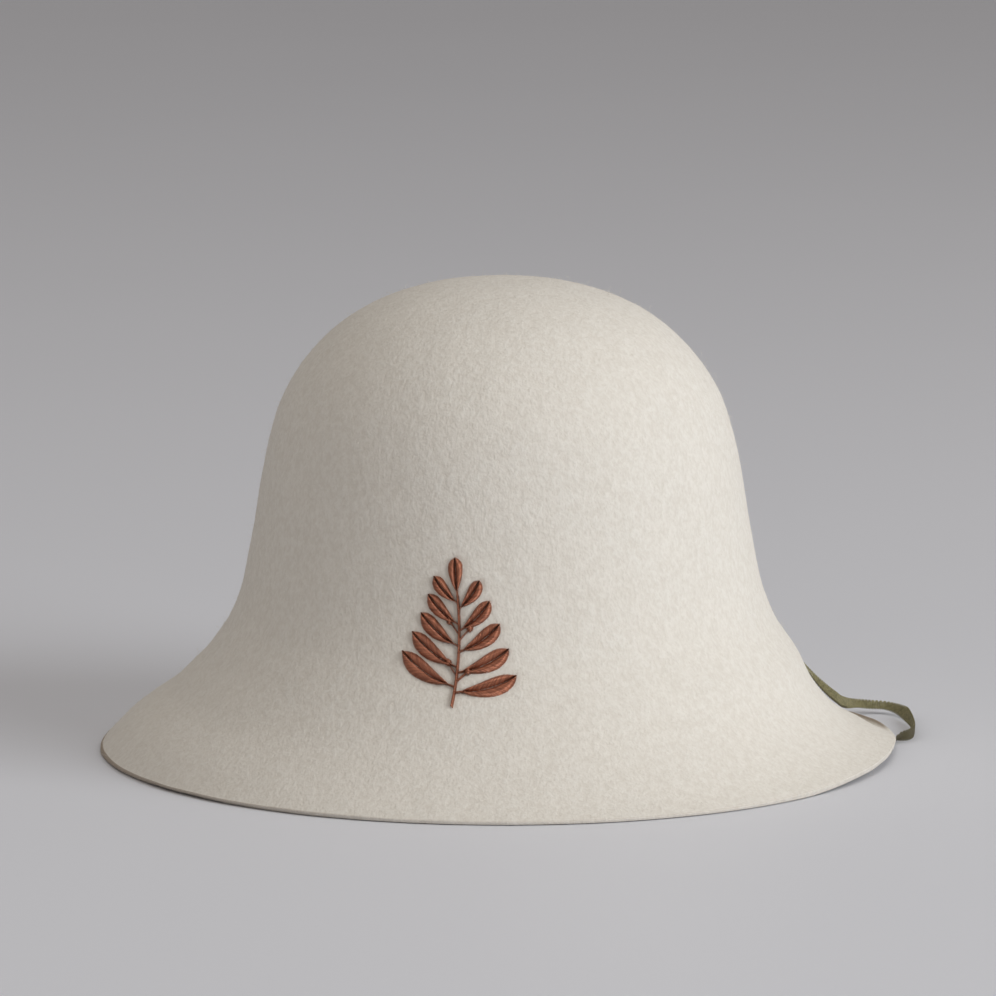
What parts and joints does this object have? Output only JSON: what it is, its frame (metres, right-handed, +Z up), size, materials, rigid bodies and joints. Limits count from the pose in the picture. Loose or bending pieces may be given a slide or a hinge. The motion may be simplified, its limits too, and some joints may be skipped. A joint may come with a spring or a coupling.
{
  "type": "sauna hat",
  "caption": "Bell-shaped felt sauna hat with a rounded crown, a flared brim and a short tape loop to hang it by, resting on its brim.",
  "frame": {"origin": "on the surface that the brim rests on, below the middle of the crown", "axes": "+Z up, the hat's front faces -Y, the hanging loop leaves the brim at +X"},
  "size_m": [0.3273, 0.317, 0.1882],
  "materials": {
    "felt": "matt off-white moulded wool felt with a short fuzzy nap and a raw cut edge",
    "tape": "matt olive-green woven flat tape with ribbed selvedges"
  },
  "bodies": {
    "root": {"felt_body": "felt", "hanging_loop": "tape"}
  },
  "joints": []
}
